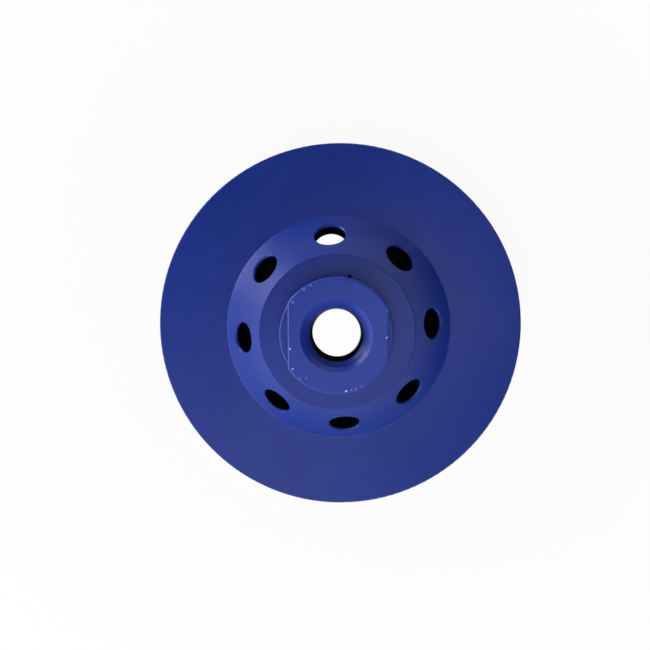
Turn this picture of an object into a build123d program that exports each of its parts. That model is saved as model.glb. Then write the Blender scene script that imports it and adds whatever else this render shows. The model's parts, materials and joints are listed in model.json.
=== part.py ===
from build123d import *
import os
from math import cos, degrees, radians, sin, tan

# Diamond cup wheel for an angle grinder. Millimetres and degrees.
# The axis of the wheel is Z. The grinding face lies on z = 0, facing down, and the hub points up.
# The wrench flats face +X and -X.

# Hub, sized round the spindle: wrench flats and the threaded bore (5/8 in, 11 threads per inch, drawn at
# the thread's minor diameter)
across_flats = 24.8
flat_depth = 2.2
flat_height = 3.1
flats_off_centre = 0.4
hub_height = 8.4
bore_diameter = 13.4
countersink_diameter = 18.0
countersink_angle = 90.0
bore_lead_out = 0.4

# Shoulder, dome and rim, from the hub outwards. With the hub they come to a wheel of 105 mm.
shoulder_width = 6.0
dome_height = 13.4
dome_slope = 49.0
rim_width = 20.25
rim_thickness = 3.5
dome_wall = 3.0
web_thickness = 4.3

# Vent holes, drilled square to the slope of the dome
vent_count = 8
vent_diameter = 8.6
vent_edge_break = 0.45
vent_turn = 4.5

# Diamond segments, in two staggered rows on the front of the rim
segments_per_row = 8
segment_height = 5.0
segment_inset = 0.3
land_margin = 1.5
row_gap = 2.5
dust_gap = 8.0
segment_corner_radius = 1.0
segment_edge_break = 0.3

# Rounds left by the turning tool and the paint
rim_edge_round = 0.5
rim_front_round = 0.3
shoulder_round = 0.5
foot_round = 0.6
hub_foot_round = 0.4
hub_edge_round = 0.6
flat_edge_break = 0.3
ledge_edge_round = 0.6
cup_inside_round = 2.0
land_edge_round = 0.5

# Radii and heights that follow from the sizes above
bore_radius = bore_diameter / 2
countersink_radius = countersink_diameter / 2
hub_radius = across_flats / 2 + flat_depth
shoulder_radius = hub_radius + shoulder_width
foot_radius = shoulder_radius + dome_height / tan(radians(dome_slope))
rim_radius = foot_radius + rim_width

rim_front_z = segment_height
rim_back_z = rim_front_z + rim_thickness
shoulder_z = rim_back_z + dome_height
hub_top_z = shoulder_z + hub_height
ledge_z = hub_top_z - flat_height
ceiling_z = shoulder_z - web_thickness
countersink_depth = (countersink_radius - bore_radius) / tan(radians(countersink_angle / 2))

# The inside of the dome runs parallel to its outside, one wall away
wall_along_radius = dome_wall / sin(radians(dome_slope))


def inside_radius(z):
    """Radius of the cone inside the dome, at height z."""
    return foot_radius - wall_along_radius - (z - rim_back_z) / tan(radians(dome_slope))


ceiling_radius = inside_radius(ceiling_z)
land_inner_radius = inside_radius(rim_front_z)

# Both rows share the land between its inner edge and the rim
row_width = (rim_radius - segment_inset - land_inner_radius - land_margin - row_gap) / 2
outer_row_radius = rim_radius - segment_inset
inner_row_radius = outer_row_radius - row_width - row_gap


def turned_cup():
    """The cup as it leaves the lathe, with a plain round hub and no bore: one section, turned about Z."""
    corners = [
        ((0, ceiling_z), 0),
        ((0, hub_top_z), 0),
        ((hub_radius, hub_top_z), hub_edge_round),
        ((hub_radius, shoulder_z), hub_foot_round),
        ((shoulder_radius, shoulder_z), shoulder_round),
        ((foot_radius, rim_back_z), foot_round),
        ((rim_radius, rim_back_z), rim_edge_round),
        ((rim_radius, rim_front_z), rim_front_round),
        ((land_inner_radius, rim_front_z), land_edge_round),
        ((ceiling_radius, ceiling_z), cup_inside_round),
    ]
    points = [point for point, _ in corners]
    rounds = [corner_round for _, corner_round in corners]
    section = make_face(Plane.XZ * FilletPolyline(*points, radius=rounds, close=True))
    return revolve(section, axis=Axis.Z)


def milled_flats():
    """What is taken off each side of the hub: a flat with its top edge broken, over a ledge with a round edge.

    The pair was cut a little to the right of the axis, so the left ledge is the wider one.
    """
    flat_x = across_flats / 2
    cut_z = ledge_z - ledge_edge_round
    outside_x = flat_x + 2 * flat_depth
    profile = Polyline(
        (flat_x, cut_z),
        (flat_x, hub_top_z - flat_edge_break),
        (flat_x - flat_edge_break, hub_top_z),
        (outside_x, hub_top_z),
        (outside_x, cut_z),
        close=True,
    )
    right = extrude(make_face(Plane.XZ * profile), hub_radius, both=True)
    pair = Pos(flats_off_centre, 0, 0) * Compound([right, mirror(right, Plane.YZ)])
    stub = Cylinder(hub_radius, ledge_z - shoulder_z, align=(Align.CENTER, Align.CENTER, Align.MIN))
    stub = fillet(stub.edges().filter_by(GeomType.CIRCLE).sort_by(Axis.Z)[-1], ledge_edge_round)
    return pair - Pos(0, 0, shoulder_z) * stub


def bore_cutter():
    """The drilled hole, the countersink at its mouth and the small lead-out inside the cup."""
    section = make_face(
        Plane.XZ
        * Polyline(
            (0, ceiling_z),
            (bore_radius + bore_lead_out, ceiling_z),
            (bore_radius, ceiling_z + bore_lead_out),
            (bore_radius, hub_top_z - countersink_depth),
            (countersink_radius, hub_top_z),
            (0, hub_top_z),
            close=True,
        )
    )
    return revolve(section, axis=Axis.Z)


def vent_cutter():
    """One vent at azimuth 0: a drill through the wall at the middle of the slope, and its broken edge."""
    vent_radius = vent_diameter / 2
    mouth_radius = vent_radius + vent_edge_break
    reach = dome_wall + vent_diameter
    drill = Cylinder(vent_radius, 2 * reach)
    broken_edge = Pos(0, 0, -vent_edge_break) * Cone(
        vent_radius, mouth_radius, vent_edge_break, align=(Align.CENTER, Align.CENTER, Align.MIN)
    )
    slope = radians(dome_slope)
    middle = ((foot_radius + shoulder_radius) / 2, 0, (rim_back_z + shoulder_z) / 2)
    wall_plane = Plane(origin=middle, x_dir=(0, 1, 0), z_dir=(sin(slope), 0, cos(slope)))
    return wall_plane * (drill + broken_edge)


def cup_body():
    vents = PolarLocations(0, vent_count, start_angle=vent_turn) * vent_cutter()
    return turned_cup() - milled_flats() - bore_cutter() - vents


def segment(outer_radius, azimuth):
    """One segment: a block of an annulus with radial ends, round corners and a broken grinding edge."""
    inner_radius = outer_radius - row_width
    middle_radius = outer_radius - row_width / 2
    sweep = 360 / segments_per_row - degrees(dust_gap / middle_radius)
    start = azimuth - sweep / 2
    with BuildPart() as block:
        with BuildSketch():
            with BuildLine():
                outside = CenterArc((0, 0), outer_radius, start, sweep)
                inside = CenterArc((0, 0), inner_radius, start, sweep)
                Line(outside @ 0, inside @ 0)
                Line(outside @ 1, inside @ 1)
            make_face()
        extrude(amount=segment_height)
        fillet(block.edges().filter_by(Axis.Z), segment_corner_radius)
        chamfer(block.faces().sort_by(Axis.Z)[0].edges(), segment_edge_break)
    return block.part


def segment_row(outer_radius, first_azimuth):
    pitch = 360 / segments_per_row
    return [segment(outer_radius, first_azimuth + index * pitch) for index in range(segments_per_row)]


def main():
    half_pitch = 180 / segments_per_row
    nodes = {"cup_body": cup_body()}
    for number, block in enumerate(segment_row(outer_row_radius, vent_turn), start=1):
        nodes[f"outer_segment_{number}"] = block
    for number, block in enumerate(segment_row(inner_row_radius, vent_turn + half_pitch), start=1):
        nodes[f"inner_segment_{number}"] = block

    os.makedirs("parts", exist_ok=True)
    for name, solid in nodes.items():
        export_step(solid, f"parts/{name}.step")
        print(f"{name}: {len(solid.solids())} solid, {solid.volume:.1f} cubic mm")


main()
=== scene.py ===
# %% [markdown]
# # A diamond cup wheel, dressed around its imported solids
# The wheel is a turned steel cup, painted blue, with sixteen diamond segments brazed under its rim.
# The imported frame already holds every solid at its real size. This lesson adds what the solids leave out:
# the thread in the bore, the paint and its chips, the braze round the segments and the grit in them.

# %% Load the frame and note its size
import json
import math

import bmesh
import bpy
import numpy as np
from mathutils import Matrix, Quaternion, Vector


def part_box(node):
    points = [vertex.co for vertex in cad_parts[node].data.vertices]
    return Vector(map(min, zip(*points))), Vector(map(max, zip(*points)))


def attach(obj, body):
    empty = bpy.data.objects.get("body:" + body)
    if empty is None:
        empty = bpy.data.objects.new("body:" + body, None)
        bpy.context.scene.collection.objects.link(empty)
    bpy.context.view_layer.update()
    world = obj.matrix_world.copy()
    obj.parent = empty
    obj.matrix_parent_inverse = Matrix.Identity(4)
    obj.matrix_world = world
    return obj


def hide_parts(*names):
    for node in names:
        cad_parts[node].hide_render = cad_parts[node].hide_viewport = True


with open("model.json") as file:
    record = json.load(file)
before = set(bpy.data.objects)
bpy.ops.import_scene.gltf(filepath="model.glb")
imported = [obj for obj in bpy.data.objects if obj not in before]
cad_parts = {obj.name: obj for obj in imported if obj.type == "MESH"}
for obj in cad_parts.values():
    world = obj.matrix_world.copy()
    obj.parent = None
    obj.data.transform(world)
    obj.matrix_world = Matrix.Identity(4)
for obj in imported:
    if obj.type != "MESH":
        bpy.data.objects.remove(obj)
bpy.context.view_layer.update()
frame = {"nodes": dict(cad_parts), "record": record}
MM = 0.001

# %% [markdown]
# ## Sizes come from the frame
# The sizes of the solids could be typed in again, but then a change of the part would leave them wrong. So
# the record's mounts give the bore, the length of its thread and the wrench flats, and the cup's box gives
# the rim's radius and the height of the hub. The other turned steps are read from the cup's own vertices.
# They are easy to find there, because a turned step is a ring of vertices that share one radius and one
# height. Only the dome's wall is typed in, where the paint in the vents needs it.

# %% Sizes from the record and the cup's box
mounts = {mount["name"]: mount for mount in frame["record"]["mounts"]}
bore_radius = mounts["spindle_thread"]["dims"]["r_mm"] * MM
thread_length = mounts["spindle_thread"]["dims"]["length_mm"] * MM
thread_middle_z = mounts["spindle_thread"]["pos_m"][2]
thread_low_z = thread_middle_z - thread_length / 2
thread_high_z = thread_middle_z + thread_length / 2
right_flat_x = mounts["wrench_flat_right"]["pos_m"][0]
left_flat_x, _, flat_middle_z = mounts["wrench_flat_left"]["pos_m"]

cup_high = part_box("cup_body")[1]
rim_radius = cup_high.x
hub_top_z = cup_high.z
# As far below the middle of the flats as the hub's top is above it. The flats' top edges are broken, so
# this is a little lower than the ledge under them.
under_ledge_z = flat_middle_z - (hub_top_z - flat_middle_z)
print(f"bore {bore_radius / MM:.2f}, rim {rim_radius / MM:.2f} mm in radius")
print(f"hub's top at {hub_top_z / MM:.2f} mm")

# %% Find the other steps of the turned cup
cup = frame["nodes"]["cup_body"]
cup_points = np.array([vertex.co for vertex in cup.data.vertices])
cup_radii = np.hypot(cup_points[:, 0], cup_points[:, 1])
cup_heights = cup_points[:, 2]

on_hub_top = cup_heights > hub_top_z - 0.01 * MM
near_hub = (cup_radii < rim_radius / 3) & (cup_heights > thread_high_z)
mouth_radius = float(cup_radii[on_hub_top].min())
mouth_low_z = hub_top_z - (mouth_radius - bore_radius)
hub_radius = float(cup_radii[near_hub].max())
hub_foot = (cup_radii > hub_radius + 0.05 * MM) & (cup_radii < hub_radius + 1 * MM)
shoulder_z = float(cup_heights[hub_foot].min())
rim_back_z = float(cup_heights[cup_radii > rim_radius * 0.8].max())
print(f"hub {hub_radius / MM:.2f}, mouth of the bore {mouth_radius / MM:.2f} mm in radius")
print(f"rim's back at {rim_back_z / MM:.2f}, shoulder at {shoulder_z / MM:.2f} mm")

# %% Find the slope of the dome
# Between the dome's ends no vertex lies outside its cone, so the outermost vertex of each slice of heights
# is on it, at the mouth of a vent.
slice_height = 0.5 * MM
dome_end = 3.5 * MM
on_cone = []
for low in np.arange(rim_back_z + dome_end, shoulder_z - dome_end, slice_height):
    in_slice = np.flatnonzero((cup_heights >= low) & (cup_heights < low + slice_height))
    if len(in_slice):
        outermost = in_slice[cup_radii[in_slice].argmax()]
        on_cone.append((cup_heights[outermost], cup_radii[outermost]))
cone_lean, cone_start = (float(value) for value in np.polyfit(*np.array(on_cone).T, 1))
print(f"the dome slopes at {math.degrees(math.atan2(1, -cone_lean)):.1f} degrees")

# %% [markdown]
# ## Arithmetic for materials
# A material is a graph of nodes. Written out node by node, a formula such as 1 - mask takes five lines, so
# this small class wraps an output socket and lets Python's own operators add the Math nodes. One method adds
# every other kind of node: its settings first, and then the values or wires of its sockets.

# %% A wire that can be calculated with
class Wire:
    """An output socket of a material's graph, or only the graph where there is no socket yet."""

    def __init__(self, tree, socket=None):
        self.tree = tree
        self.socket = socket

    def node(self, kind, settings=None, inputs=None, output=0):
        """Adds a node of this kind and gives one of its outputs."""
        node = self.tree.nodes.new("ShaderNode" + kind)
        for name, value in (settings or {}).items():
            setattr(node, name, value)
        for name, value in (inputs or {}).items():
            if isinstance(value, Wire):
                self.tree.links.new(value.socket, node.inputs[name])
            else:
                node.inputs[name].default_value = value
        return Wire(self.tree, node.outputs[output])

    def math(self, operation, *values):
        return self.node("Math", {"operation": operation}, dict(enumerate(values)))

    def __add__(self, other):
        return self.math("ADD", self, other)

    def __sub__(self, other):
        return self.math("SUBTRACT", self, other)

    def __rsub__(self, other):
        return self.math("SUBTRACT", other, self)

    def __mul__(self, other):
        return self.math("MULTIPLY", self, other)

    __radd__ = __add__
    __rmul__ = __mul__

    def __truediv__(self, other):
        return self.math("DIVIDE", self, other)

    def __rtruediv__(self, other):
        return self.math("DIVIDE", other, self)

    def most(self, other):
        """The larger of two numbers."""
        return self.math("MAXIMUM", self, other)

    def root(self):
        return self.math("SQRT", self)

    def wave(self):
        """The sine of this number of full turns."""
        return self.math("SINE", self * math.tau)

    def fade(self, low, high):
        """Rises smoothly from 0 at low to 1 at high, or falls if low is the larger."""
        settings = {"interpolation_type": "SMOOTHSTEP"}
        return self.node("MapRange", settings, {"Value": self, "From Min": low, "From Max": high})

    def blend(self, first, second):
        """A colour between first and second, by this mask."""
        return self.node("Mix", {"data_type": "RGBA"}, {0: self, 6: first, 7: second}, output=2)

    def along(self, axis):
        """One number of this vector: X, Y or Z."""
        return self.node("SeparateXYZ", inputs={0: self}, output=axis)

    def distance(self, centre):
        """How far this place is from a fixed one."""
        return self.node("VectorMath", {"operation": "DISTANCE"}, {0: self, 1: centre}, "Value")

    def towards(self, direction):
        """How far this place lies in a direction, which is given as a vector of length 1."""
        return self.node("VectorMath", {"operation": "DOT_PRODUCT"}, {0: self, 1: direction}, "Value")

    def grain(self, scale, detail=2.0, roughness=0.5):
        """Noise from 0 to 1 at this place. The scale is in waves per metre."""
        inputs = {"Vector": self, "Scale": scale, "Detail": detail, "Roughness": roughness}
        return self.node("TexNoise", inputs=inputs)


# %% Colours, new materials and their sockets
def rgb(red, green, blue):
    """A colour as a screen shows it, 0 to 255, turned into the linear values that shaders work with."""
    def linear(level):
        share = level / 255
        return share / 12.92 if share <= 0.04045 else ((share + 0.055) / 1.055) ** 2.4

    return (linear(red), linear(green), linear(blue), 1.0)


def start_material(name):
    """A new material with one Principled shader. Gives the material, that shader and a wire to begin with."""
    material = bpy.data.materials.new(name)
    material.use_nodes = True
    shader = material.node_tree.nodes["Principled BSDF"]
    return material, shader, Wire(material.node_tree)


def connect(shader, **sockets):
    """Sets or links sockets of a shader. An underscore in a name stands for a space."""
    for name, value in sockets.items():
        socket = shader.inputs[name.replace("_", " ")]
        if isinstance(value, Wire):
            value.tree.links.new(value.socket, socket)
        else:
            socket.default_value = value


# %% [markdown]
# ## The thread in the bore
# The wheel screws onto a grinder's spindle, so its bore has a right-hand thread: 5/8 inch, 11 turns to the
# inch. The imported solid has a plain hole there, at the thread's inner radius. A bump could fake the groove,
# but the mouth of the hole would stay a perfect circle, where the real one shows the groove running out
# through the countersink. So the groove is cut: its section is wound round a helix, and a boolean takes that
# out of a copy of the cup. The copy needs one skin, so vertices that lie on each other are merged first.

# %% The thread's measures, and meshes from points
INCH = 25.4 * MM
thread_pitch = INCH / 11
groove_radius = INCH * 5 / 8 / 2
steps_per_turn = 72
# How far the groove's cutter starts inside the hole, so that no face of it lies on the hole's wall
cutter_overlap = 0.2 * MM


def join_grid(rows, columns):
    """Faces of a grid of vertices that closes on itself along each row, and is open from row to row."""
    faces = []
    for row in range(rows - 1):
        for column in range(columns):
            after = (column + 1) % columns
            low, high = row * columns, (row + 1) * columns
            faces.append((low + column, low + after, high + after, high + column))
    return faces


def new_piece(name, points, faces):
    """An object in the scene, at the origin, from points in metres."""
    mesh = bpy.data.meshes.new(name)
    mesh.from_pydata([tuple(point) for point in points], [], faces)
    piece = bpy.data.objects.new(name, mesh)
    bpy.context.scene.collection.objects.link(piece)
    return piece


# %% The groove as a solid
def helical_groove():
    """The 60 degree groove, three quarters of the pitch wide at the wall and an eighth at its root."""
    wall_half, root_half = thread_pitch * 3 / 8, thread_pitch / 16
    spread = (wall_half - root_half) / (groove_radius - bore_radius)
    inner_half = wall_half + spread * cutter_overlap
    section = [
        (bore_radius - cutter_overlap, -inner_half),
        (groove_radius, -root_half),
        (groove_radius, root_half),
        (bore_radius - cutter_overlap, inner_half),
    ]
    low_z = thread_low_z - thread_pitch
    rings = round((hub_top_z - low_z) / thread_pitch * steps_per_turn)
    points = []
    for ring in range(rings):
        turn = math.tau * ring / steps_per_turn
        rise = low_z + thread_pitch * ring / steps_per_turn
        points += [(r * math.cos(turn), r * math.sin(turn), rise + dz) for r, dz in section]
    last = len(points) - len(section)
    caps = [tuple(range(len(section))), tuple(last + corner for corner in reversed(range(len(section))))]
    groove = new_piece("groove", points, join_grid(rings, len(section)) + caps)
    skin = bmesh.new()
    skin.from_mesh(groove.data)
    bmesh.ops.triangulate(skin, faces=skin.faces)
    bmesh.ops.recalc_face_normals(skin, faces=skin.faces)
    skin.to_mesh(groove.data)
    skin.free()
    return groove


groove = helical_groove()
print("the groove has", len(groove.data.vertices), "vertices")

# %% Helpers for pieces that take a solid's place
merge_distance = 1e-6
sharp_edge_degrees = 30


def merged_copy(name, node):
    """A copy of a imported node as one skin, in an object of its own."""
    skin = bmesh.new()
    skin.from_mesh(node.data)
    bmesh.ops.remove_doubles(skin, verts=skin.verts, dist=merge_distance)
    points = [vertex.co.copy() for vertex in skin.verts]
    faces = [[vertex.index for vertex in face.verts] for face in skin.faces]
    skin.free()
    return new_piece(name, points, faces)


def apply_modifiers(piece):
    """Turns what the modifiers make into the piece's own mesh."""
    evaluated = piece.evaluated_get(bpy.context.evaluated_depsgraph_get())
    made = bpy.data.meshes.new_from_object(evaluated)
    piece.modifiers.clear()
    piece.data = made


def smooth_rounds(piece):
    """Smooth shading that breaks at sharp edges, and in which flat faces stay flat."""
    piece.data.shade_smooth()
    piece.data.set_sharp_from_angle(angle=math.radians(sharp_edge_degrees))
    weighted = piece.modifiers.new("flat_faces_first", "WEIGHTED_NORMAL")
    weighted.keep_sharp = True
    apply_modifiers(piece)


# %% Cut the groove out of a copy of the cup
threaded_cup = merged_copy("threaded_cup", cup)
cut = threaded_cup.modifiers.new("thread", "BOOLEAN")
cut.operation = "DIFFERENCE"
cut.solver = "EXACT"
cut.object = groove
apply_modifiers(threaded_cup)
bpy.data.objects.remove(groove)
smooth_rounds(threaded_cup)
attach(threaded_cup, "root")
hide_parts("cup_body")
print("the cup has", len(threaded_cup.data.polygons), "faces with its thread")

# %% [markdown]
# ## Where things are on the wheel
# Everything on a turned part is easiest to place by its distance from the axis and its height, so each
# material starts from Blender's object coordinates. All pieces have their origin in the middle of the
# grinding face, so these coordinates are the same for all of them.

# %% Coordinates on the wheel
def wheel_place(start):
    """The place on the wheel, as a vector from the middle of its grinding face."""
    return start.node("TexCoord", output="Object")


def axis_distance(place):
    """How far a place is from the wheel's axis."""
    x, y = place.along("X"), place.along("Y")
    return (x * x + y * y).root()


def compass(azimuth):
    """The direction across the wheel at this azimuth, in degrees, as a vector of length 1."""
    turn = math.radians(azimuth)
    return Vector((math.cos(turn), math.sin(turn), 0))


# %% [markdown]
# ## Chips in the paint
# Where the hub was handled, small chips let the steel through. They sit on its edges, because paint is
# thinnest there. They could be dents in the mesh, but a chip is hardly as deep as the paint is thick. So each
# chip is a soft ball in the material, which only bites where the surface runs through it, broken up by noise
# so that no two have the same outline.

# %% Chips along the hub's edges
def on_hub_edge(azimuth, inset):
    """A point on the outline of the hub's top, in from its edge: an arc, or a flat where that is nearer."""
    x, y, _ = compass(azimuth) * (hub_radius - inset)
    nearest = min(right_flat_x - inset, max(left_flat_x + inset, x))
    return (nearest, y if nearest == x else nearest * math.tan(math.radians(azimuth)), hub_top_z)


# azimuth in degrees, distance in from the edge and radius in mm, and how bare the steel is
chips = [
    (195.6, 0.56, 0.25, 0.9),
    (217.3, 1.08, 0.25, 0.8),
    (229.3, 0.74, 0.24, 0.25),
    (234.8, 1.76, 0.26, 0.25),
    (280.3, 0.72, 0.29, 1.0),
    (285.8, 0.73, 0.22, 0.35),
    (290.4, 0.68, 0.24, 0.4),
    (297.0, 0.62, 0.22, 0.3),
    (27.2, 0.29, 0.22, 0.5),
    (358.7, 0.39, 0.26, 0.9),
    (141.6, 1.03, 0.34, 0.35),
    (124.5, 0.60, 0.40, 0.3),
    (116.9, 0.53, 0.34, 0.25),
]


def chip_mask(place):
    """1 where a chip bares the steel, 0 where the paint holds."""
    rough_edge = place.grain(4000) - 0.5
    mask = None
    for azimuth, inset, radius, bareness in chips:
        ragged = place.distance(on_hub_edge(azimuth, inset * MM)) + rough_edge * (0.7 * radius * MM)
        chip = ragged.fade(radius * MM * 1.3, radius * MM * 0.8) * bareness
        mask = chip if mask is None else mask.most(chip)
    return mask


print(len(chips), "chips, the widest", max(2 * radius for _, _, radius, _ in chips), "mm across")

# %% [markdown]
# ## Where the paint is lighter, darker or missing
# The spray came from the hub's side, and it left out the thread, which is dark with oil. The hub's top is
# painted a shade lighter, as painted light on the face that looks up. The walls of the vents are painted
# nearly black, a painted shade in those hollows. The hub's rounded edges are painted lighter, mostly on one
# side, as a painted highlight with a little wear. None of these places has a face of its own in the mesh, so
# each is a mask from the distance to the axis and the height: a number that is 1 there and fades to 0
# outside. Only the rounded edges are easier to tell by how the surface leans.

# %% Masks for the paint
# The side of the hub whose rounded edges get the painted highlight, in degrees
lit_edge_azimuth = 155
dome_wall = 3 * MM
# How deep in a vent the painted shade begins, and where it is full
vent_shade_depth = (0.35 * MM, 1 * MM)


def edge_highlight_and_wear(start, place, radius, height):
    """Up to 1 on the hub's rounded edges, mostly on the side the light comes from: a painted highlight, with
    a little wear.
    """
    lean = start.node("NewGeometry", output="Normal").along("Z")
    rounded = lean.fade(0.1, 0.4) * lean.fade(0.98, 0.88)
    outside_mouth = radius.fade(mouth_radius + 1 * MM, mouth_radius + 2 * MM)
    on_hub = outside_mouth * height.fade(shoulder_z + 2 * MM, under_ledge_z)
    lit_side = place.towards(compass(lit_edge_azimuth)).fade(-hub_radius * 0.3, hub_radius * 0.95)
    patchy = place.grain(500, detail=4.0).fade(0.35, 0.65)
    return rounded * on_hub * lit_side * (patchy * 0.7 + 0.3)


def thread_mask(radius, height):
    """1 on the thread's own faces, 0 on the countersink and everything outside."""
    beyond_countersink = radius - bore_radius - (height - mouth_low_z).most(0)
    below_mouth = height.fade(mouth_low_z, mouth_low_z - 0.05 * MM)
    in_reach = radius.fade(groove_radius + 0.06 * MM, groove_radius + 0.02 * MM)
    unsprayed = height.fade(mouth_low_z + 0.2 * MM, mouth_low_z - 1.6 * MM)
    return below_mouth.most(beyond_countersink.fade(0.02 * MM, 0.06 * MM)) * in_reach * unsprayed


def vent_shade_mask(radius, height):
    """1 on the walls of the vents, painted nearly black as painted shade: under the cone's outer surface, but
    not as deep as its inner one.
    """
    depth = (height * cone_lean + cone_start - radius) * (1 / math.hypot(1, cone_lean))
    above_rim = height.fade(rim_back_z, rim_back_z + 1 * MM)
    below_shoulder = height.fade(shoulder_z - 1 * MM, shoulder_z - 2 * MM)
    before_inside = depth.fade(dome_wall - 0.015 * MM, dome_wall - 0.05 * MM)
    return depth.fade(*vent_shade_depth) * before_inside * above_rim * below_shoulder


# %% [markdown]
# ## The blue paint
# Cheap, thin enamel: a deep blue with a satin face. Up close it has a fine orange peel, and under it show the
# rings that the lathe left. Both are far too fine for the mesh, so a Bump node tilts the light on them. The
# colours are mixed by the masks, and where a chip or the thread bares the steel, the surface turns to metal.
# One dark speck of dirt lies on the shoulder, against the hub.

# %% The paint itself
speck_azimuth = 77.3
speck_off_hub = 0.54 * MM
speck = compass(speck_azimuth) * (hub_radius + speck_off_hub) + Vector((0, 0, shoulder_z))
spray_blue = rgb(20, 47, 140)
peel_height = 0.006 * MM
turning_feed = 0.32 * MM
coat_thickness = 0.05 * MM


def paint_colour(place, height, fine_clouds, lit_edges_and_wear, dark):
    """Blue that drifts a little, a shade lighter on the hub's top as painted light, lighter on one side's
    edges as a painted highlight with some wear, and nearly black on a dirt speck and as painted shade in the
    vents.
    """
    drift = place.grain(45, detail=3.0) * 0.7 + fine_clouds * 0.3
    thin = drift.fade(0.3, 0.7).blend(rgb(17, 44, 133), rgb(22, 49, 140))
    # The hub's top is painted a shade lighter: painted light on the face that looks up
    blue = (height.fade(hub_top_z - 2 * MM, hub_top_z) * 0.6).blend(thin, rgb(26, 54, 162))
    # Nearly black where dark is 1, and lighter on the edges by the painted highlight with wear
    return dark.blend((lit_edges_and_wear * 0.2).blend(blue, rgb(110, 124, 205)), rgb(4, 4, 9))


def blue_paint():
    """Satin blue enamel over turned steel, with chips at the hub's edges and a dark oily thread."""
    material, shader, start = start_material("chipped_blue_paint")
    place = wheel_place(start)
    radius, height = axis_distance(place), place.along("Z")

    fine_clouds = place.grain(260)
    dirt = (place.distance(speck) + (fine_clouds - 0.5) * (0.3 * MM)).fade(0.65 * MM, 0.3 * MM) * 0.85
    # dark is 1 on a real dirt speck and on the vents' walls, where it is painted shade
    dark = dirt.most(vent_shade_mask(radius, height))
    bare = chip_mask(place)
    thread = thread_mask(radius, height)
    painted = paint_colour(place, height, fine_clouds, edge_highlight_and_wear(start, place, radius, height), dark)
    coated = bare.blend(painted, rgb(158, 162, 206))

    rings = (radius / turning_feed + place.grain(300) * 2).wave()
    relief = (place.grain(1500) * 0.7 + rings * 0.1) * peel_height - bare * coat_thickness
    connect(
        shader,
        Base_Color=thread.blend(coated, rgb(40, 40, 46)),
        Metallic=(bare * 0.7).most(thread * 0.8).most(dark),
        Roughness=fine_clouds * 0.06 + 0.37 + dark * 0.5,
        Specular_IOR_Level=0.3,
        Normal=start.node("Bump", inputs={"Strength": 1.0, "Distance": 1.0, "Height": relief}),
    )
    return material


paint = blue_paint()
threaded_cup.data.materials.clear()
threaded_cup.data.materials.append(paint)
print("the paint has", len(paint.node_tree.nodes), "nodes")

# %% [markdown]
# ## The finish of the segments
# A segment is a block of metal powder and diamond grit, pressed and sintered. The metal is grey with a warm
# tint, and dull. The cup was sprayed after brazing, so blue covers most of the silver braze, and fades from
# the root of each segment downwards, over the bond and the grit. The segments could be coloured one by one,
# but the fade follows the height on the wheel, so one formula suits all sixteen.

# %% Bond, grit and braze
def segment_metal():
    """Sintered metal bond, sprayed blue near its root."""
    material, shader, start = start_material("sintered_bond")
    place = wheel_place(start)
    mottle = place.grain(900, detail=4.0, roughness=0.6)
    metal = mottle.fade(0.3, 0.7).blend(rgb(96, 92, 88), rgb(138, 133, 127))
    drift = place.grain(350, detail=3.0)
    spray = (place.along("Z") + (drift - 0.5) * (3 * MM)).fade(1.2 * MM, 3 * MM)
    pores = place.grain(5000) * (0.05 * MM)
    connect(
        shader,
        Base_Color=spray.blend(metal, spray_blue),
        Metallic=(1 - spray) * 0.55,
        Roughness=mottle * 0.2 + 0.45,
        Normal=start.node("Bump", inputs={"Strength": 1.0, "Distance": 1.0, "Height": pores}),
    )
    return material


def diamond():
    """Yellow-green synthetic grit, sprayed blue near the root like the bond."""
    material, shader, start = start_material("diamond_grit")
    place = wheel_place(start)
    crystal_tint = place.grain(1200).fade(0.35, 0.65).blend(rgb(150, 146, 96), rgb(186, 184, 150))
    spray = place.along("Z").fade(1.4 * MM, 2.8 * MM)
    connect(shader, Base_Color=spray.blend(crystal_tint, spray_blue), Roughness=spray * 0.25 + 0.15, IOR=2.0)
    return material


def braze():
    """Silver solder run into the corner, mostly hidden under the spray."""
    material, shader, start = start_material("sprayed_braze")
    cover = wheel_place(start).grain(500, detail=3.0).fade(0.7, 0.56)
    connect(
        shader,
        Base_Color=cover.blend(rgb(128, 124, 122), spray_blue),
        Metallic=(1 - cover) * 0.8,
        Roughness=cover * 0.1 + 0.35,
    )
    return material


bond, grit, solder = segment_metal(), diamond(), braze()
print("finishes of the segments:", bond.name, grit.name, solder.name)

# %% [markdown]
# ## The crystals
# On the grinding face the soft bond is worn back a tenth of a millimetre, and the crystals stand out of it,
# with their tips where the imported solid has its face. Others stand out of the sides. The crystals are real
# meshes, because a bump can't give their sharp outline. Synthetic diamonds grow as cubes with their corners
# cut off, so one such shape is turned and stretched at random for each crystal.

# %% One crystal
bond_wear = 0.1 * MM
grit_size = (0.15 * MM, 0.21 * MM)
crystals_on_face = 230
crystals_on_sides = 130

# A cube with its corners cut off has its own corners at the middles of the cube's twelve edges
crystal_corners = [(x, y, 0) for x in (-1, 1) for y in (-1, 1)]
crystal_corners += [(x, 0, z) for x in (-1, 1) for z in (-1, 1)]
crystal_corners += [(0, y, z) for y in (-1, 1) for z in (-1, 1)]


def hull_faces(corners):
    """The faces of the convex shape round some corners, by the corners' numbers."""
    skin = bmesh.new()
    for index, corner in enumerate(corners):
        skin.verts.new(corner).index = index
    bmesh.ops.convex_hull(skin, input=skin.verts)
    faces = [[vertex.index for vertex in face.verts] for face in skin.faces]
    skin.free()
    return faces


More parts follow.
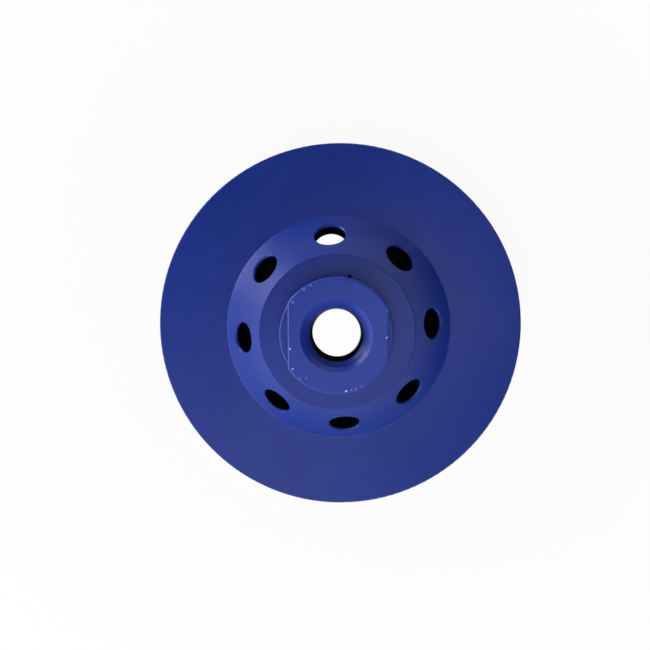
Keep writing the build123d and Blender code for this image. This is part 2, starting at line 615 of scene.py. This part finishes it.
def crystal(place, size, dice):
    """A crystal's corners, turned and stretched at random, and lifted if they would reach below the floor."""
    turn = Quaternion(dice.normal(size=4)).normalized()
    stretch = Vector(dice.uniform(0.8, 1.2, 3))
    reach = size / math.sqrt(2)
    points = [turn @ (Vector(corner) * stretch) * reach for corner in crystal_corners]
    above_floor = place.z + min(point.z for point in points)
    lift = Vector((0, 0, max(0, -above_floor)))
    return [place + lift + point for point in points]


crystal_faces = hull_faces(crystal_corners)
print("a crystal has", len(crystal_corners), "corners and", len(crystal_faces), "faces")

# %% A segment with its crystals
def spots(mesh, wanted, count, dice):
    """Points spread evenly by area over the faces for which wanted(face) is true, each with its normal."""
    mesh.calc_loop_triangles()
    triangles = [t for t in mesh.loop_triangles if wanted(mesh.polygons[t.polygon_index])]
    areas = np.array([t.area for t in triangles])
    found = []
    for index in dice.choice(len(triangles), count, p=areas / areas.sum()):
        a, b, c = (mesh.vertices[number].co for number in triangles[index].vertices)
        u, v = dice.uniform(size=2)
        if u + v > 1:
            u, v = 1 - u, 1 - v
        found.append((a + (b - a) * u + (c - a) * v, triangles[index].normal.copy()))
    return found


def worn_back(corner):
    """A corner of the bond, lifted by the wear if it is on the grinding face."""
    return corner + Vector((0, 0, bond_wear if corner.z < 0.01 * MM else 0))


def dress_segment(name, seed):
    """The bond with crystals in its grinding face and its sides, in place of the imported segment."""
    dice = np.random.default_rng(seed)
    piece = merged_copy(name + "_with_grit", frame["nodes"][name])
    mesh = piece.data
    face_spots = spots(mesh, lambda face: face.normal.z < -0.9, crystals_on_face, dice)
    side_spots = spots(mesh, lambda face: abs(face.normal.z) < 0.1, crystals_on_sides, dice)
    points = [worn_back(vertex.co) for vertex in mesh.vertices]
    faces = [list(face.vertices) for face in mesh.polygons]
    bond_faces = len(faces)
    for place, normal in face_spots + side_spots:
        size = dice.uniform(*grit_size)
        sunk = place - normal * size * dice.uniform(0.6, 0.9)
        first = len(points)
        points += crystal(sunk, size, dice)
        faces += [[first + corner for corner in face] for face in crystal_faces]
    mesh.clear_geometry()
    mesh.from_pydata(points, [], faces)
    mesh.materials.append(bond)
    mesh.materials.append(grit)
    for index, face in enumerate(mesh.polygons):
        face.material_index = int(index >= bond_faces)
    smooth_rounds(piece)
    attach(piece, "root")
    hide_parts(name)


# %% [markdown]
# ## The braze
# Brazing leaves a small hollow bead of silver all round the root of each segment. Its width wanders, because
# the solder ran as it liked. A bump could shade it, but the corner would still look sharp from the side. So
# the bead is a mesh: a section swept round the outline where segment and rim meet. That outline is read from
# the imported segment, so the bead always fits it.

# %% Braze in the corner between segment and rim
bead_leg = 0.24 * MM
bead_sunk = 0.06 * MM
first_bead_seed = 100


def root_outline(node):
    """The outline of a segment where it meets the rim, as points in order round it."""
    skin = bmesh.new()
    skin.from_mesh(node.data)
    bmesh.ops.remove_doubles(skin, verts=skin.verts, dist=merge_distance)
    top = max(vertex.co.z for vertex in skin.verts)
    follows = {}
    for face in skin.faces:
        if face.normal.z > 0.9:
            for loop in face.loops:
                if any(other.normal.z < 0.9 for other in loop.edge.link_faces):
                    follows[loop.vert.co.to_tuple(9)] = loop.link_loop_next.vert.co.to_tuple(9)
    skin.free()
    start = next(iter(follows))
    outline, here = [start], follows[start]
    while here != start:
        outline.append(here)
        here = follows[here]
    return [Vector((x, y, top)) for x, y, _ in outline]


def bead_section(leg):
    """The bead cut across, as distances outwards and downwards: its back is sunk in, its face is hollow."""
    return [
        (-bead_sunk, -bead_sunk),
        (-bead_sunk, leg * 1.5),
        (0, leg * 1.2),
        (leg * 0.3, leg * 0.35),
        (leg, leg * 0.02),
        (leg, -bead_sunk),
    ]


def uneven(count, dice):
    """Random widths round the bead, as shares of its leg, smoothed over five neighbours in a closed row."""
    shares = np.tile(dice.uniform(0.5, 1.5, count), 3)
    return np.convolve(shares, np.ones(5) / 5, "same")[count:2 * count]


def braze_bead(name, node, seed):
    """A small hollow fillet of solder all round the root of a segment."""
    outline = root_outline(node)
    count = len(outline)
    swell = uneven(count, np.random.default_rng(seed))
    points = []
    for index, here in enumerate(outline):
        ahead = outline[(index + 1) % count] - outline[index - 1]
        outward = Vector((ahead.y, -ahead.x, 0)).normalized()
        section = bead_section(bead_leg * float(swell[index]))
        points += [here + outward * out + Vector((0, 0, -down)) for out, down in section]
    sides = len(points) // count
    faces = join_grid(count, sides)
    last = (count - 1) * sides
    faces += [(last + side, last + (side + 1) % sides, (side + 1) % sides, side) for side in range(sides)]
    bead = new_piece(name, points, faces)
    bead.data.shade_smooth()
    bead.data.materials.append(solder)
    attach(bead, "root")


# %% Dress all sixteen segments
segment_names = sorted(name for name in frame["nodes"] if name != "cup_body")
for seed, name in enumerate(segment_names):
    braze_bead(name.replace("segment", "braze"), frame["nodes"][name], first_bead_seed + seed)
    dress_segment(name, seed)
print(len(segment_names), "segments, each with", crystals_on_face + crystals_on_sides, "crystals")

# %% [markdown]
# ## The paper
# The wheel lies on white paper. Lamps strong enough to turn the paper white would bleach the paint, so the
# paper glows, but only for rays that come from the camera, a reflection or clear glass. For all others it is
# plain paper, and lights the wheel as paper does. Near the wheel the glow is a little weaker, and leaves its
# soft shadow. Under the rim the paper is painted dark, a painted shadow, and the vents look into that dark.
# Under the bore and under one vent two spots glow white for the camera only, painted light, so only through
# the bore and that vent does the camera see white.

# %% Floor
floor_size = 3.0
# Inside this radius the paper is painted dark, a painted shadow under the wheel
shadow_radius = rim_radius - 7 * MM
near_glow, far_glow = 0.92, 0.98
# The middle and the radius, in mm, of two spots of painted light: white glow on the paper in the wheel's
# shade, seen through the bore and through one vent
painted_light_spots = [((-0.47, -2.13, 0), 7.4), ((-2.3, 21.8, 0), 6.15)]


def paper():
    """White outside the wheel and painted dark under it as a painted shadow, with two spots of painted light
    that only the camera sees.
    """
    material, shader, start = start_material("white_paper")
    place = wheel_place(start)
    radius = axis_distance(place)
    outside = radius.fade(shadow_radius - 1 * MM, shadow_radius + 2 * MM)
    under_bore, under_vent = (
        place.distance(Vector(middle) * MM).fade((reach + 0.2) * MM, (reach - 0.2) * MM)
        for middle, reach in painted_light_spots
    )
    camera_ray = start.node("LightPath", output="Is Camera Ray")
    glossy_ray = start.node("LightPath", output="Is Glossy Ray")
    clear_ray = start.node("LightPath", output="Is Transmission Ray")
    glow_level = radius.fade(rim_radius * 1.2, rim_radius * 3) * (far_glow - near_glow) + near_glow
    seen = outside * camera_ray.most(glossy_ray).most(clear_ray) * glow_level
    # The two spots under the wheel glow white for the camera: painted light
    seen_through = under_bore.most(under_vent) * camera_ray * far_glow
    glow = start.node("Emission", inputs={"Color": (1, 1, 1, 1), "Strength": 1.0})
    # The dark paper is a painted shadow; the pale one is plain paper
    painted_shadow = start.node("BsdfDiffuse", inputs={"Color": (0.02, 0.02, 0.02, 1)})
    in_light = start.node("BsdfDiffuse", inputs={"Color": (0.8, 0.8, 0.8, 1)})
    plain = start.node("MixShader", inputs={0: outside, 1: painted_shadow, 2: in_light})
    mixed = start.node("MixShader", inputs={0: seen.most(seen_through), 1: plain, 2: glow})
    output = start.tree.nodes["Material Output"]
    start.tree.links.new(mixed.socket, output.inputs["Surface"])
    start.tree.nodes.remove(shader)
    return material


half = floor_size / 2
floor_corners = [(-half, -half, 0), (half, -half, 0), (half, half, 0), (-half, half, 0)]
floor = new_piece("paper_floor", floor_corners, [(0, 1, 2, 3)])
floor.data.materials.append(paper())
print("the paper is", floor_size, "m wide")

# %% [markdown]
# ## Lamps
# Satin paint is seen by what it mirrors. Long, low softboxes round the wheel give the cone its bright streak
# at the left and keep the flat faces even, and a small lamp overhead lifts the faces that look up. A bright
# sky could light the wheel too, but it would mirror in every face alike. Each lamp is placed by its direction
# from the wheel, because that decides which faces catch it.

# %% Lamps and sky
def softbox(name, azimuth, elevation, distance, width, height, power):
    """An area lamp that faces the wheel. Angles are in degrees, sizes in metres, power in watts."""
    lamp = bpy.data.lights.new(name, "AREA")
    lamp.shape = "RECTANGLE"
    lamp.size = width
    lamp.size_y = height
    lamp.energy = power
    rise = math.radians(elevation)
    direction = compass(azimuth) * math.cos(rise) + Vector((0, 0, math.sin(rise)))
    holder = bpy.data.objects.new(name, lamp)
    holder.location = direction * distance
    holder.rotation_euler = direction.to_track_quat("Z", "Y").to_euler()
    bpy.context.scene.collection.objects.link(holder)


softbox("lamp_left", 150, 8, 0.6, 0.30, 0.15, 2.7)
softbox("low_window", 205, 6.5, 0.6, 0.80, 0.11, 2.2)
softbox("front_window", 286, 25, 0.6, 0.85, 0.16, 1.7)
softbox("window", 238, 48, 0.4, 0.55, 0.14, 0.60)
softbox("overhead", 310, 82, 0.25, 0.20, 0.12, 0.17)
softbox("fill_behind", 72, 14, 0.6, 0.75, 0.20, 0.95)

# The sky is white to the camera and through clear glass, and dim to all other rays
dim = 0.062
world = bpy.data.worlds.new("studio")
world.use_nodes = True
bpy.context.scene.world = world
sky = Wire(world.node_tree)
clear_ray = sky.node("LightPath", output="Is Transmission Ray")
backdrop = sky.node("LightPath", output="Is Camera Ray").most(clear_ray)
background = world.node_tree.nodes["Background"]
background.inputs["Color"].default_value = (1, 1, 1, 1)
connect(background, Strength=backdrop * (1 - dim) + dim)
print(len(bpy.data.lights), "lamps, and a sky of", dim)

# %% [markdown]
# ## The camera
# The photograph was taken from close above the wheel, a little to one side of its axis, so the hub leans
# towards the lower edge, and the vent at the upper edge is the one that can be seen through. The camera
# stands at that place. Its matrix is built from three directions, which fixes the roll as well as the aim:
# the wheel's Y axis stays upright in the picture.

# %% Camera
camera_place = Vector((2.2, 12.9, 149.7)) * MM
aim = Vector((-3.66, 0.98, 8.5)) * MM
lens = bpy.data.cameras.new("camera")
lens.sensor_width = 36.0
lens.lens = 27.05
lens.clip_start = 5 * MM
camera = bpy.data.objects.new("camera", lens)
backward = (camera_place - aim).normalized()
rightward = Vector((0, 1, 0)).cross(backward).normalized()
upward = backward.cross(rightward)
camera.matrix_world = Matrix((rightward, upward, backward)).transposed().to_4x4()
camera.location = camera_place
bpy.context.scene.collection.objects.link(camera)
bpy.context.scene.camera = camera
bpy.context.scene.view_settings.view_transform = "Standard"
print(f"the camera is {(camera_place - aim).length / MM:.0f} mm from its aim")
